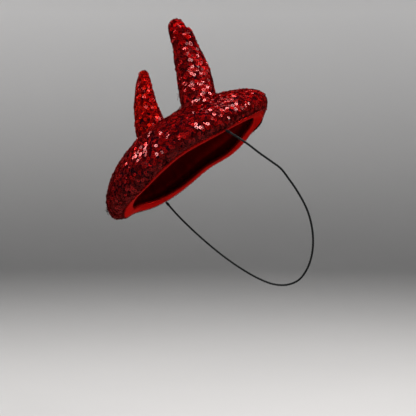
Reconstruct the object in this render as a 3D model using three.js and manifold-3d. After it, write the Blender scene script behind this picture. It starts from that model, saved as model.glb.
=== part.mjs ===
// A small sequinned beret with two padded horns, worn tilted on the head and held by a round elastic.
// Millimetres. +Z is up as it is worn, -Y is the wearer's front and +X the wearer's left.
// The origin is the middle of the opening that the head goes into.
import * as THREE from "three";
import { mergeVertices } from "three/addons/utils/BufferGeometryUtils.js";
import Module from "manifold-3d";

const wasm = await Module();
wasm.setup();

const degree = Math.PI / 180;

// Driving dimensions. The beret has its own frame: x to its left, y to its back, z up its axis.
const crown = {
  halfWidth: 85,
  halfLength: 88,
  height: 37, // from the lowest line of the edge to the top, without the dome
  domeRise: 2.2,
  widestHeight: 15,
  fullness: 0.7, // below 1 the shoulder is fuller than an ellipse
  wall: 2.2,
};
const opening = { radius: 66 };
const facing = { seamAngle: 58 * degree, wall: 2.2 }; // the cover stops at this angle under the edge
const lining = { wall: 1.2 };
const clearance = 0.3;

// The beret follows the head below it, so its sides, back and front hang lower than its middle,
// by shares of the crown's height. tuckStart is a share of the half length.
const droop = { sides: 0.3838, back: 0.1405, front: 0.1676, tuck: 0.2541, tuckStart: 0.35 };

// Folds and dents of the soft crown. bearing runs from the beret's left (0) by its back (90).
// width is in degrees, lift a share of the crown's height, push a share of its half width.
const folds = [
  { name: "raised edge over the back left", bearing: 60, width: 15, lift: 0.07, push: 0 },
  { name: "full round back", bearing: 82, width: 26, lift: -0.04, push: 0.045 },
  { name: "back right edge hangs lower", bearing: 116, width: 20, lift: -0.12, push: 0.012 },
  { name: "hollow over the back right", bearing: 140, width: 14, lift: 0.03, push: -0.01 },
  { name: "bulge on the right", bearing: 178, width: 20, lift: -0.02, push: 0.006 },
  { name: "hollow before the right horn", bearing: 214, width: 13, lift: 0.02, push: -0.01 },
  { name: "front edge hangs lower", bearing: -124, width: 22, lift: -0.07, push: 0.015 },
  { name: "bulge at the front left", bearing: -72, width: 16, lift: -0.03, push: 0.012 },
  { name: "hollow before the left horn", bearing: -34, width: 15, lift: 0.02, push: -0.011 },
  { name: "pucker behind the left horn", bearing: 28, width: 12, lift: 0, push: -0.009 },
];

// Both horns share their seats, mirrored: shares of the crown's half width, half length and height.
// root is the stretch below the seat, which is cut to the crown.
const hornSeat = { sideways: 0.5506, backwards: 0.0818, sunk: 0.146, root: 0.3784 };
const fullHorn = { length: 87.8, baseRadius: 16.6 };
// Each was stuffed by hand, so each has its own lean and taper. length is a share of the full horn's
// length and both radii of its base radius. back is the lean towards the back in degrees, and out
// the lean away from the middle.
const horns = [
  {
    name: "horn_left",
    side: 1,
    length: 1,
    baseRadius: 1,
    tipRadius: 0.3675,
    taper: 2.1,
    backAtBase: 31.8,
    backAtTip: 10.1,
    outAtBase: 1.5,
    outAtTip: -0.7,
  },
  {
    name: "horn_right",
    side: -1,
    length: 0.982,
    baseRadius: 0.982,
    tipRadius: 0.241,
    taper: 1.8,
    backAtBase: 9.3,
    backAtTip: 39.3,
    outAtBase: -5.1,
    outAtTip: -2.9,
  },
];

// How it is worn: turned on its own axis, tipped to the front and then over to the right, in degrees.
const worn = { turn: -4.9, forward: 23.9, right: 28.3 };

const elastic = { diameter: 2, sides: 8, stepLength: 5.2 };
// Points that its middle passes, as it is worn: from the left of the edge to the right.
const elasticRoute = [
  [72.7, -6.9, 23.4],
  [74.6, -0.5, 19.6],
  [76.6, 11.7, 12.3],
  [78.3, 23.5, 4.1],
  [79.8, 33.7, -2.5],
  [81.7, 43.5, -9.5],
  [82.2, 52.2, -19.3],
  [82.4, 58.7, -27.2],
  [80.4, 71.2, -44],
  [72.2, 83, -61.9],
  [60.5, 92.3, -80.3],
  [47, 98, -96.3],
  [37.5, 99, -106.1],
  [28, 98.6, -113.1],
  [14, 96, -118],
  [-2, 91.5, -118.5],
  [-17, 84.5, -114],
  [-31, 74.5, -105.5],
  [-43, 62, -94],
  [-52, 48, -80.5],
  [-58.5, 34, -66.5],
  [-62.5, 21.5, -53.5],
  [-63.9, 11, -42.1],
];

// How finely the curved pieces are divided.
const detail = { around: 54, overTop: 11, underEdge: 6, hornRings: 22, hornSides: 20, hornTip: 5 };

const red = (name, color, roughness) =>
  new THREE.MeshStandardMaterial({ name, color, roughness, metalness: 0 });

// A point of the crown's section. angle is 90 degrees on the axis, 0 at the widest line and
// -90 degrees at the opening; inset moves it in from the outside of the cover.
function sectionPoint(angle, inset) {
  const reach = crown.halfWidth - inset;
  if (angle < 0) {
    const foldReach = reach - opening.radius;
    return new THREE.Vector2(
      opening.radius + foldReach * Math.cos(angle),
      crown.widestHeight + (crown.widestHeight - inset) * Math.sin(angle),
    );
  }
  const radius = reach * Math.max(Math.cos(angle), 0) ** crown.fullness;
  const rise = crown.height - inset - crown.widestHeight;
  const dome = crown.domeRise * (1 - (radius / reach) ** 2);
  return new THREE.Vector2(radius, crown.widestHeight + rise * Math.sin(angle) + dome);
}

// Evenly spaced angles of the section, finer over the top than under the edge.
function sectionAngles(from, to) {
  const quarter = Math.PI / 2;
  const parts = to > 0 ? detail.overTop : detail.underEdge;
  const count = Math.max(1, Math.round(((to - from) / quarter) * parts));
  return Array.from({ length: count + 1 }, (_, i) => from + ((to - from) * i) / count);
}

// How far a point of the beret hangs below where it would be on a flat base.
function droopAt(x, y) {
  const across = x / crown.halfWidth;
  const along = y / crown.halfLength;
  const tucked = Math.max(0, -along - droop.tuckStart) / (1 - droop.tuckStart);
  const ends = along < 0 ? droop.front : droop.back;
  return crown.height * (droop.sides * across ** 2 + ends * along ** 2 + droop.tuck * tucked ** 2);
}

// Carries a point of the round section shape to the soft, worn shape: oval, folded and drooping.
function soften(point) {
  const bearing = Math.atan2(point.y, point.x) / degree;
  const radius = Math.hypot(point.x, point.y);
  const outward = THREE.MathUtils.smoothstep(radius / crown.halfWidth, 0.35, 0.9);
  const low = 1 - THREE.MathUtils.smoothstep(point.z / crown.height, 0.1, 0.9);
  let push = 0;
  let lift = 0;
  for (const fold of folds) {
    const away = THREE.MathUtils.euclideanModulo(bearing - fold.bearing + 180, 360) - 180;
    const weight = Math.exp(-((away / fold.width) ** 2)) * outward;
    push += fold.push * crown.halfWidth * weight;
    lift += fold.lift * crown.height * weight * low;
  }
  const x = point.x * (1 + push / crown.halfWidth);
  const y = point.y * (1 + push / crown.halfWidth) * (crown.halfLength / crown.halfWidth);
  return new THREE.Vector3(x, y, point.z + lift - droopAt(x, y));
}

// Turns a section round the beret's axis and softens the result.
function turned(points) {
  const geometry = new THREE.LatheGeometry(points, detail.around);
  geometry.rotateX(Math.PI / 2);
  return moved(geometry, soften);
}

// Moves every vertex by a function, and keeps only closed, shared positions.
function moved(geometry, move) {
  geometry.deleteAttribute("normal");
  geometry.deleteAttribute("uv");
  const closed = mergeVertices(geometry, 1e-4);
  const position = closed.getAttribute("position");
  const point = new THREE.Vector3();
  for (let i = 0; i < position.count; i++) {
    point.fromBufferAttribute(position, i);
    const to = move(point);
    position.setXYZ(i, to.x, to.y, to.z);
  }
  closed.computeVertexNormals();
  return closed;
}

// The closed section of a cloth wall between two insets.
function wallSection(angles, outer, inner) {
  const outside = angles.map((angle) => sectionPoint(angle, outer));
  const inside = angles.map((angle) => sectionPoint(angle, inner)).reverse();
  return [...inside, ...outside];
}

function solidOf(geometry) {
  return new wasm.Manifold(
    new wasm.Mesh({
      numProp: 3,
      vertProperties: geometry.getAttribute("position").array,
      triVerts: new Uint32Array(geometry.index.array),
    }),
  );
}

function geometryOf(solid) {
  const mesh = solid.getMesh();
  const geometry = new THREE.BufferGeometry();
  geometry.setAttribute("position", new THREE.BufferAttribute(mesh.vertProperties, 3));
  geometry.setIndex(new THREE.BufferAttribute(mesh.triVerts, 1));
  geometry.computeVertexNormals();
  return geometry;
}

function named(name, geometry, material) {
  const mesh = new THREE.Mesh(geometry, material);
  mesh.name = name;
  return mesh;
}

// The sequinned cloth over the top, down to the widest line, where it meets the edge band.
function crownTop() {
  const seam = clearance / (crown.height - crown.widestHeight);
  const section = wallSection(sectionAngles(seam, Math.PI / 2), 0, crown.wall);
  return named("crown_top", turned(section), red("sequinned cloth", 0x8e0a0e, 0.45));
}

// The sequinned band of the edge, from the widest line turned under as far as the facing's seam.
function crownEdge() {
  const section = wallSection(sectionAngles(-facing.seamAngle, 0), 0, crown.wall);
  return named("crown_edge", turned([...section, section[0].clone()]), red("sequinned edge", 0x8e0a0e, 0.45));
}

// The satin facing under the edge, from the cover's seam in to the opening.
function undersideFacing() {
  const seamReach = crown.halfWidth - opening.radius;
  const seam = -facing.seamAngle - clearance / seamReach;
  const angles = sectionAngles(-Math.PI / 2, seam);
  const outside = angles.map((angle) => sectionPoint(angle, 0));
  const inside = angles.map((angle) => sectionPoint(angle, facing.wall)).reverse();
  const nose = new THREE.Vector2(opening.radius - facing.wall / 2, facing.wall / 2);
  const section = [nose, ...outside, ...inside, nose.clone()];
  return named("underside_facing", turned(section), red("red satin facing", 0xb01018, 0.32));
}

// The satin lining, which follows the cover's inside from the opening up to the top.
function crownLining() {
  const outer = Math.max(crown.wall, facing.wall) + clearance;
  const angles = [...sectionAngles(-Math.PI / 2, 0).slice(0, -1), ...sectionAngles(0, Math.PI / 2)];
  const section = wallSection(angles, outer, outer + lining.wall);
  return named("crown_lining", turned(section), red("red satin lining", 0xa30f16, 0.32));
}

// The space that the beret fills, grown by the clearance, which the horns' feet are cut to.
function crownSpace() {
  const angles = sectionAngles(0, Math.PI / 2);
  const outside = angles.map((angle) => sectionPoint(angle, -clearance));
  const below = -crown.height;
  const foot = new THREE.Vector2(outside[0].x, below);
  return solidOf(turned([new THREE.Vector2(0, below), foot, ...outside]));
}

// The height of the soft crown's outside over a place in the beret's own frame.
function topHeight(x, y) {
  const radius = Math.hypot(x, (y * crown.halfWidth) / crown.halfLength);
  const share = Math.min(1, radius / crown.halfWidth);
  const angle = Math.acos(share ** (1 / crown.fullness));
  return sectionPoint(angle, 0).y - droopAt(x, y);
}

// The way a horn points at a share of its length: its lean changes evenly from base to tip.
function hornHeading(horn, share) {
  const back = THREE.MathUtils.lerp(horn.backAtBase, horn.backAtTip, share) * degree;
  const out = THREE.MathUtils.lerp(horn.outAtBase, horn.outAtTip, share) * degree;
  const level = Math.cos(out);
  return new THREE.Vector3(horn.side * Math.sin(out), Math.sin(back) * level, Math.cos(back) * level);
}

function hornLength(horn) {
  return horn.length * fullHorn.length;
}

// The middle line of a horn, summed up in short steps from its seat. The root goes straight down.
function hornMiddle(horn, height) {
  const sideways = horn.side * hornSeat.sideways * crown.halfWidth;
  const middle = new THREE.Vector3(sideways, hornSeat.backwards * crown.halfLength, 0);
  middle.z = topHeight(middle.x, middle.y) - hornSeat.sunk * crown.height;
  if (height < 0) return middle.addScaledVector(hornHeading(horn, 0), height);
  const steps = detail.hornRings;
  for (let i = 0; i < steps; i++) {
    const share = ((i + 0.5) / steps) * (height / hornLength(horn));
    middle.addScaledVector(hornHeading(horn, share), height / steps);
  }
  return middle;
}

// A stuffed horn: full at the foot, tapering to a blunt round tip.
function hornSection(horn) {
  const length = hornLength(horn);
  const baseRadius = horn.baseRadius * fullHorn.baseRadius;
  const tipRadius = horn.tipRadius * fullHorn.baseRadius;
  const root = hornSeat.root * crown.height;
  const shoulder = length - tipRadius;
  const radiusAt = (height) => {
    const share = Math.max(0, height / length);
    return tipRadius + (baseRadius - tipRadius) * (1 - share ** horn.taper);
  };
  const points = [new THREE.Vector2(0, -root), new THREE.Vector2(baseRadius, -root)];
  for (let i = 0; i <= detail.hornRings; i++) {
    const height = (shoulder * i) / detail.hornRings;
    points.push(new THREE.Vector2(radiusAt(height), height));
  }
  for (let i = 1; i < detail.hornTip; i++) {
    const angle = (Math.PI / 2) * (i / detail.hornTip);
    const height = shoulder + tipRadius * Math.sin(angle);
    points.push(new THREE.Vector2(radiusAt(height) * Math.cos(angle), height));
  }
  points.push(new THREE.Vector2(0, length));
  return points;
}

function hornMesh(horn, space) {
  const geometry = new THREE.LatheGeometry(hornSection(horn), detail.hornSides);
  geometry.rotateX(Math.PI / 2);
  const bent = moved(geometry, (point) => {
    const heading = hornHeading(horn, Math.max(0, point.z / hornLength(horn)));
    const middle = hornMiddle(horn, point.z);
    const toBack = heading.clone().cross(new THREE.Vector3(1, 0, 0)).normalize();
    const toLeft = toBack.clone().cross(heading);
    return middle.addScaledVector(toLeft, point.x).addScaledVector(toBack, point.y);
  });
  const seated = solidOf(bent).subtract(space);
  return named(horn.name, geometryOf(seated), red("sequinned horn", 0x980a0e, 0.42));
}

// The round elastic: one end at the left of the edge, round the back of the head, to the right.
function elasticCord() {
  const path = new THREE.CatmullRomCurve3(
    elasticRoute.map(([x, y, z]) => new THREE.Vector3(x, y, z)),
    false,
    "centripetal",
  );
  const outline = [];
  for (let i = 0; i < elastic.sides; i++) {
    const angle = (2 * Math.PI * i) / elastic.sides;
    outline.push(new THREE.Vector2(Math.cos(angle), Math.sin(angle)).multiplyScalar(elastic.diameter / 2));
  }
  const steps = Math.min(80, Math.round(path.getLength() / elastic.stepLength));
  const geometry = new THREE.ExtrudeGeometry(new THREE.Shape(outline), {
    steps,
    bevelEnabled: false,
    extrudePath: path,
  });
  const black = new THREE.MeshStandardMaterial({ color: 0x101214, roughness: 0.8, metalness: 0 });
  return named("elastic_cord", geometry, black);
}

const beret = new THREE.Group();
const space = crownSpace();
beret.add(crownTop(), crownEdge(), undersideFacing(), crownLining());
for (const horn of horns) beret.add(hornMesh(horn, space));
beret.rotation.set(worn.forward * degree, -worn.right * degree, worn.turn * degree, "YXZ");

const fascinator = new THREE.Group();
fascinator.name = "beret_fascinator";
fascinator.add(beret, elasticCord());

export default fascinator;
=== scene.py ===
import math

import bpy
import numpy as np
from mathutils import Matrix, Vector


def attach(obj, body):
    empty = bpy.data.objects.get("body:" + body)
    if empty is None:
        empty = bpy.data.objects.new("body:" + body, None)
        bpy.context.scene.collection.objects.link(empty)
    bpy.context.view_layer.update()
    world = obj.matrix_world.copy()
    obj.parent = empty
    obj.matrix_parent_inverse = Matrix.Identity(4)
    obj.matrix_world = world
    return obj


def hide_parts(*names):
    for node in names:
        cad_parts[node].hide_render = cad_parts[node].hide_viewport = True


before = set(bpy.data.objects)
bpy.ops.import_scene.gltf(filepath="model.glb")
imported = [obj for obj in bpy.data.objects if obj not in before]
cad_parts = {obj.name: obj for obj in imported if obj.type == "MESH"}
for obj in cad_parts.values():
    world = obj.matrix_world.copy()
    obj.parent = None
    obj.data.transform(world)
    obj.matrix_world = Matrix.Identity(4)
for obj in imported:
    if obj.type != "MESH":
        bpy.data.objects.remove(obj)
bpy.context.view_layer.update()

print("frame loaded:", sorted(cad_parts))

millimetre = 0.001
fullTurn = 2 * math.pi

# Camera
# It stands level with the opening of the beret and aims a little below and beside it.
cameraSetup = {
    "azimuth": 60.0,  # degrees from the wearer's front towards the wearer's left
    "distance": 1.2,
    "pixelsPerMetre": 1112.0,  # at the middle of the opening
    "framePixels": 416.0,
    "sensor": 36.0,  # millimetres
    "openingPixel": (190.0, 157.7),  # where the middle of the opening stands in the frame
}


def fromAround(azimuth, elevation, distance):
    # a place seen from the origin at an azimuth and an elevation, as the camera's are counted
    a, e = math.radians(azimuth), math.radians(elevation)
    return Vector((math.sin(a) * math.cos(e), -math.cos(a) * math.cos(e), math.sin(e))) * distance


def aimAt(thing, place, target):
    # the thing looks down its own -Z from the place to the target
    thing.location = place
    thing.rotation_euler = (target - place).to_track_quat("-Z", "Y").to_euler()


def makeCamera():
    # aimed beside the origin by the pixels between the frame's middle and the opening's; the lens is
    # the sensor's width times the pixels per metre times the distance, over the frame's pixels
    c = cameraSetup
    camera = bpy.data.objects.new("photoCamera", bpy.data.cameras.new("photoCamera"))
    bpy.context.collection.objects.link(camera)
    half = c["framePixels"] / 2
    a = math.radians(c["azimuth"])
    rightward = Vector((math.cos(a), math.sin(a), 0)) * ((half - c["openingPixel"][0]) / c["pixelsPerMetre"])
    downward = Vector((0, 0, -1)) * ((half - c["openingPixel"][1]) / c["pixelsPerMetre"])
    aimAt(camera, fromAround(c["azimuth"], 0, c["distance"]), rightward + downward)
    camera.data.sensor_width = c["sensor"]
    camera.data.lens = c["sensor"] * c["pixelsPerMetre"] * c["distance"] / c["framePixels"]
    camera.data.clip_end = 50.0
    bpy.context.scene.camera = camera
    bpy.context.scene.view_settings.view_transform = "Standard"  # keeps the deep reds of the dye


makeCamera()


# Shader sums
class Tint:  # a socket in a material; sums on it add Math nodes
    def __init__(self, finish, socket):
        self.finish, self.socket = finish, socket

    def sum(self, operation, first, second):
        return self.finish.add("ShaderNodeMath", {"operation": operation}, {0: first, 1: second})

    def __add__(self, other):
        return self.sum("ADD", self, other)

    def __radd__(self, other):
        return self.sum("ADD", other, self)

    def __sub__(self, other):
        return self.sum("SUBTRACT", self, other)

    def __mul__(self, other):
        return self.sum("MULTIPLY", self, other)


class Finish:  # a material that is put together node by node
    def __init__(self, name):
        self.material = bpy.data.materials.new(name)
        self.material.use_nodes = True
        self.nodes = self.material.node_tree.nodes
        self.links = self.material.node_tree.links
        self.shader = next(n for n in self.nodes if n.type == "BSDF_PRINCIPLED")

    def set(self, node, sockets):
        for key, value in sockets.items():
            if isinstance(value, Tint):
                self.links.new(value.socket, node.inputs[key])
            else:
                node.inputs[key].default_value = value

    def add(self, kind, settings=None, sockets=None, output=0):
        # settings come first, then the values or links of the sockets
        node = self.nodes.new(kind)
        for key, value in (settings or {}).items():
            if key == "stops":
                ramp = node.color_ramp.elements
                while len(ramp) < len(value):
                    ramp.new(0.5)
                for element, (place, colour) in zip(ramp, value):
                    element.position, element.color = place, (*colour, 1.0)
            else:
                setattr(node, key, value)
        self.set(node, sockets or {})
        return Tint(self, node.outputs[output])

    def surface(self, **sockets):
        self.set(self.shader, {key.replace("_", " "): value for key, value in sockets.items()})
        return self.material


def noiseTint(finish, coordinates, scale, detail=3.0, roughness=0.55):
    # a cloudy value between 0 and 1, scale clouds to the metre
    return finish.add(
        "ShaderNodeTexNoise",
        {"noise_dimensions": "3D"},
        {"Vector": coordinates, "Scale": scale, "Detail": detail, "Roughness": roughness},
    )


def placeTint(finish):
    # the place on the piece, in the part's own frame and in metres
    return finish.add("ShaderNodeTexCoord", output=3)


def clothTint(finish, scale):
    # the cloth's own map, in metres times a scale along and across
    uv = finish.add("ShaderNodeUVMap", {"uv_map": "clothMap"})
    return finish.add("ShaderNodeMapping", {}, {"Vector": uv, "Scale": (*scale, 1.0)})


def bandsTint(finish, coordinates, direction, scale=1.0, distortion=0.0):
    # threads side by side: a sine across a direction
    return finish.add(
        "ShaderNodeTexWave",
        {"bands_direction": direction},
        {"Vector": coordinates, "Scale": scale, "Distortion": distortion},
    )


def bumpTint(finish, height, strength, distance):
    return finish.add("ShaderNodeBump", {}, {"Height": height, "Strength": strength, "Distance": distance})


def mixTint(finish, factor, low, high):
    # colours are mixed as colours, because a Math node would turn them grey
    return finish.add(
        "ShaderNodeMix",
        {"data_type": "RGBA", "clamp_factor": True},
        {0: factor, 6: (*low, 1.0), 7: (*high, 1.0)},
        output=2,
    )


# Meshes from arrays
def makePiece(name, vertices, quads, triangles, material, smooth=True):
    # vertices are rows of x, y, z; quads and triangles are rows of vertex numbers
    triangles = np.zeros((0, 3), int) if triangles is None else triangles
    loops = np.concatenate([quads.ravel(), triangles.ravel()]).astype(np.int32)
    starts = np.concatenate([
        np.arange(len(quads)) * 4,
        len(quads) * 4 + np.arange(len(triangles)) * 3,
    ]).astype(np.int32)
    mesh = bpy.data.meshes.new(name)
    mesh.vertices.add(len(vertices))
    mesh.vertices.foreach_set("co", np.ascontiguousarray(vertices, np.float32).ravel())
    mesh.loops.add(len(loops))
    mesh.loops.foreach_set("vertex_index", loops)
    mesh.polygons.add(len(starts))
    mesh.polygons.foreach_set("loop_start", starts)
    mesh.polygons.foreach_set("use_smooth", np.full(len(starts), smooth))
    mesh.update(calc_edges=True)
    piece = bpy.data.objects.new(name, mesh)
    bpy.context.collection.objects.link(piece)
    mesh.materials.append(material)
    return piece


def gridQuads(rows, columns, wrapRows=False):
    # numbers of the four corners of every cell of a grid of rings, whose last ring may join the first
    r, c = np.meshgrid(np.arange(rows if wrapRows else rows - 1), np.arange(columns), indexing="ij")
    r, c = r.ravel(), c.ravel()
    r2, c2 = (r + 1) % rows, (c + 1) % columns
    return np.stack([r * columns + c, r * columns + c2, r2 * columns + c2, r2 * columns + c], 1)


def fanTriangles(ring, middle, turned):
    # triangles from a ring of vertex numbers to one middle vertex
    following = np.roll(ring, -1)
    first, second = (following, ring) if turned else (ring, following)
    return np.stack([first, second, np.full(len(ring), middle)], 1)


def manyQuads(quads, count, size):
    # the same quads for a number of copies, each of which has so many vertices
    return (quads[None] + (np.arange(count) * size)[:, None, None]).reshape(-1, 4)


def closedRings(name, rings, firstMiddle, lastMiddle, material):
    # a grid of rings whose first and last ring are closed by triangles to a middle point
    rows, columns = rings.shape[:2]
    count, around = rows * columns, np.arange(columns)
    vertices = np.vstack([rings.reshape(-1, 3), firstMiddle, lastMiddle])
    triangles = np.vstack([
        fanTriangles(around, count, True),
        fanTriangles(count - columns + around, count + 1, False),
    ])
    return makePiece(name, vertices, gridQuads(rows, columns), triangles, material)


def unit(vectors):
    # each vector over its own length
    return vectors / np.linalg.norm(vectors, axis=-1, keepdims=True)


def onCircle(turn, first, second):
    # the direction at a turn between two directions: cos(turn) first + sin(turn) second
    return np.cos(turn) * first + np.sin(turn) * second


def aroundCircle(radius, step, jitter, random):
    # turns about a step apart round a circle, each moved a little
    count = int(fullTurn * radius / step)
    return (np.arange(count) + random.uniform(-jitter, jitter, count)) / count * fullTurn


def layFlatMap(piece, u, v):
    # a UV map in metres from one value of u and v for every vertex; a seam cell is left as it is
    loops = np.zeros(len(piece.data.loops), np.int32)
    piece.data.loops.foreach_get("vertex_index", loops)
    layer = piece.data.uv_layers.new(name="clothMap")
    layer.data.foreach_set("uv", np.stack([u[loops], v[loops]], 1).astype(np.float32).ravel())


# The beret's form
# The beret has its own frame: x to its left, y to its back, z up its axis. Sizes in millimetres.
crownForm = {
    "halfWidth": 85.0,
    "halfLength": 88.0,
    "height": 37.0,
    "domeRise": 2.2,
    "widestHeight": 15.0,
    "fullness": 0.7,
    "openingRadius": 66.0,
    "wall": 2.2,
    "seamAngle": 58.0,  # degrees under the widest line where the sequinned cloth stops
    "liningWall": 1.2,
    "clearance": 0.3,
    "droopSides": 14.2,
    "droopBack": 5.2,
    "droopFront": 6.2,
    "tuck": 9.4,
    "tuckStart": 0.35,
    "foldRadii": (0.35, 0.9),  # shares of the half width between which the folds set in
    "foldHeights": (0.1, 0.9),  # shares of the height between which their lift dies out
    # bearing and width in degrees, lift as a share of the height, push of the half width
    "folds": [
        ("raised edge over the back left", 60, 15, 0.07, 0),
        ("full round back", 82, 26, -0.04, 0.045),
        ("back right edge hangs lower", 116, 20, -0.12, 0.012),
        ("hollow over the back right", 140, 14, 0.03, -0.01),
        ("bulge on the right", 178, 20, -0.02, 0.006),
        ("hollow before the right horn", 214, 13, 0.02, -0.01),
        ("front edge hangs lower", -124, 22, -0.07, 0.015),
        ("bulge at the front left", -72, 16, -0.03, 0.012),
        ("hollow before the left horn", -34, 15, 0.02, -0.011),
        ("pucker behind the left horn", 28, 12, 0, -0.009),
    ],
    # uneven wadding: strength, waves round and up, start, then waves and start of its swelling
    "wadding": [(1.0, 5, 2, 1.3, 3, 0.4), (0.7, 11, -3, 0.2, 0, 0), (0.5, 17, 7, 2.1, 0, 0)],
    "turn": -4.9,  # worn: turned on its axis, tipped forward, then over to the right, in degrees
    "forward": 23.9,
    "right": 28.3,
}


def wornMatrix():
    # turns about z, then x, then y, as the beret is worn
    t, f, r = (math.radians(crownForm[k]) for k in ("turn", "forward", "right"))
    aboutZ = np.array([[math.cos(t), -math.sin(t), 0], [math.sin(t), math.cos(t), 0], [0, 0, 1]])
    aboutX = np.array([[1, 0, 0], [0, math.cos(f), -math.sin(f)], [0, math.sin(f), math.cos(f)]])
    aboutY = np.array([[math.cos(-r), 0, math.sin(-r)], [0, 1, 0], [-math.sin(-r), 0, math.cos(-r)]])
    return aboutY @ aboutX @ aboutZ


worn = wornMatrix()


def toWorn(points):
    # millimetres in the beret's own frame to metres as it is worn
    return points @ worn.T * millimetre


def smoothStep(x, low, high):
    # 0 below low, 1 above high, and between them t^2 (3 - 2t) of the share t
    t = np.clip((x - low) / (high - low), 0, 1)
    return t * t * (3 - 2 * t)


def sectionAt(angle, inset):
    # radius and height of the crown's section: a quarter ellipse under the widest line,
    # and over it radius = reach cos(angle)^fullness, height = rise sin(angle) plus a low dome
    f = crownForm
    reach = f["halfWidth"] - inset
    under = angle < 0
    c, s = np.cos(angle), np.sin(angle)
    radiusUnder = f["openingRadius"] + (reach - f["openingRadius"]) * c
    heightUnder = f["widestHeight"] + (f["widestHeight"] - inset) * s
    radiusOver = reach * np.maximum(c, 0) ** f["fullness"]
    dome = f["domeRise"] * (1 - (radiusOver / reach) ** 2)
    heightOver = f["widestHeight"] + (f["height"] - inset - f["widestHeight"]) * s + dome
    return np.where(under, radiusUnder, radiusOver), np.where(under, heightUnder, heightOver)


def droopAt(x, y):
    # how far the beret hangs below a flat base: squares across and along, and a tuck at the front
    f = crownForm
    across, along = x / f["halfWidth"], y / f["halfLength"]
    tucked = np.maximum(0, -along - f["tuckStart"]) / (1 - f["tuckStart"])
    ends = np.where(along < 0, f["droopFront"], f["droopBack"])
    return f["droopSides"] * across**2 + ends * along**2 + f["tuck"] * tucked**2


def soften(x, y, z):
    # oval, folded and drooping: each fold is a bell over the bearing that pushes out and lifts
    f = crownForm
    bearing = np.degrees(np.arctan2(y, x))
    outward = smoothStep(np.hypot(x, y) / f["halfWidth"], *f["foldRadii"])
    low = 1 - smoothStep(z / f["height"], *f["foldHeights"])
    push, lift = np.zeros_like(z), np.zeros_like(z)
    for _, middle, width, rises, pushes in f["folds"]:
        away = (bearing - middle + 180) % 360 - 180
        bell = np.exp(-((away / width) ** 2)) * outward
        push, lift = push + pushes * bell, lift + rises * f["height"] * bell * low
    x2, y2 = x * (1 + push), y * (1 + push) * f["halfLength"] / f["halfWidth"]
    return x2, y2, z + lift - droopAt(x2, y2)


def crownPoints(bearing, angle, inset, raised=0.0):
    # the section at an angle, carried round to a bearing, both in radians; raised moves a point out
    # by 0.9 raised cos(angle) and up by raised sin(angle), which is nearly along the normal
    radius, height = sectionAt(angle, inset)
    radius = radius + raised * np.cos(angle) * 0.9
    height = height + raised * np.sin(angle)
    x, y, z = soften(radius * np.cos(bearing), radius * np.sin(bearing), height)
    return toWorn(np.stack([x, y, z], -1))


def topHeight(x, y):
    # height of the crown's outside over a place in its own frame
    f = crownForm
    radius = np.hypot(x, y * f["halfWidth"] / f["halfLength"])
    share = np.minimum(1, radius / f["halfWidth"])
    return sectionAt(np.arccos(share ** (1 / f["fullness"])), 0.0)[1] - droopAt(x, y)


def padding(bearing, angle, depth):
    # the wadding's waves, each strength sin(round bearing + start + up angle) times its swelling,
    # added up, and flattened out towards the pole by the root of cos(angle)
    waves = 0.0
    for strength, around, up, start, swellUp, swellStart in crownForm["wadding"]:
        swelling = np.cos(swellUp * angle + swellStart)
        waves = waves + strength * np.sin(around * bearing + start + up * angle) * swelling
    return depth * waves * np.clip(np.cos(angle), 0, 1) ** 0.5


# Finishes
netLook = {
    "scale": (1400.0, 1400.0), "patches": 260.0, "relief": 0.0002,
    "deep": (0.0008, 0.0008, 0.0018), "pale": (0.010, 0.0, 0.0006),
}
sequinLook = {
    "attributes": ("tone", "gloss", "shine"),  # of each sequin
    "places": (0.0, 0.3, 0.62, 1.0),  # of the dark, dull, middle and bright tones on the ramp
    "dull": 0.36,  # share of the middle tone
    "rough": 0.17,
    "roughSpread": 0.2,
    "coat": 0.2,  # share of the coat on the darkest sequins
    "coatRise": 1.7,
    # dark, middle and bright tones, and the coat's weight
    "dyes": {
        "sequinRed": ((0.016, 0.0, 0.0), (0.108, 0.0, 0.0), (0.235, 0.0006, 0.0006), 0.03),
        # the warm dye is a brighter, lit copy of the red for the far horn: painted light, as that horn
        # catches more of the lamps
        "sequinRedLitCopy": ((0.02, 0.0, 0.0), (0.135, 0.0, 0.0), (0.33, 0.005, 0.001), 0.008),
    },
}
satinLook = {
    "scale": (900.0, 5200.0), "twill": 0.35, "waviness": 1.5, "clouds": 55.0, "relief": 0.00012,
    "cloudy": 0.9, "streaky": 0.25, "darker": 0.05,  # shares of the clouds and floats in the tone
    "rough": 0.24, "roughSpread": 0.12,
    # deep and pale tones
    "dyes": {
        # the facing's pale tone is raised and pinkish: a painted highlight of the lamp on the satin at the
        # back
        "facingSatin": ((0.09, 0.0, 0.0), (0.46, 0.012, 0.009)),
        "liningSatin": ((0.07, 0.0, 0.0), (0.16, 0.001, 0.001)),
    },
}
elasticLook = {
    "scale": (2600.0, 900.0), "fuzz": 900.0, "relief": 0.00015,
    "deep": (0.0015, 0.002, 0.002), "pale": (0.006, 0.008, 0.009),
}
threadLook = {
    "fuzz": 2500.0, "deep": 0.6,  # share of the dye in the hollows
    "dyes": {"blackThread": (0.003, 0.004, 0.005), "redThread": (0.07, 0.0, 0.0)},
}


def netFinish():
    # dark ground net under the sequins: two crossed threads, nearly black with a red cast
    f, look = Finish("groundNet"), netLook
    scaled = clothTint(f, look["scale"])
    cells = bandsTint(f, scaled, "X") * 0.5 + bandsTint(f, scaled, "Y") * 0.5
    patches = noiseTint(f, placeTint(f), look["patches"])
    tint = mixTint(f, patches * cells, look["deep"], look["pale"])
    bump = bumpTint(f, cells, 0.5, look["relief"])
    return f.surface(Base_Color=tint, Roughness=0.7, Normal=bump, Specular_IOR_Level=0.0)


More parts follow.
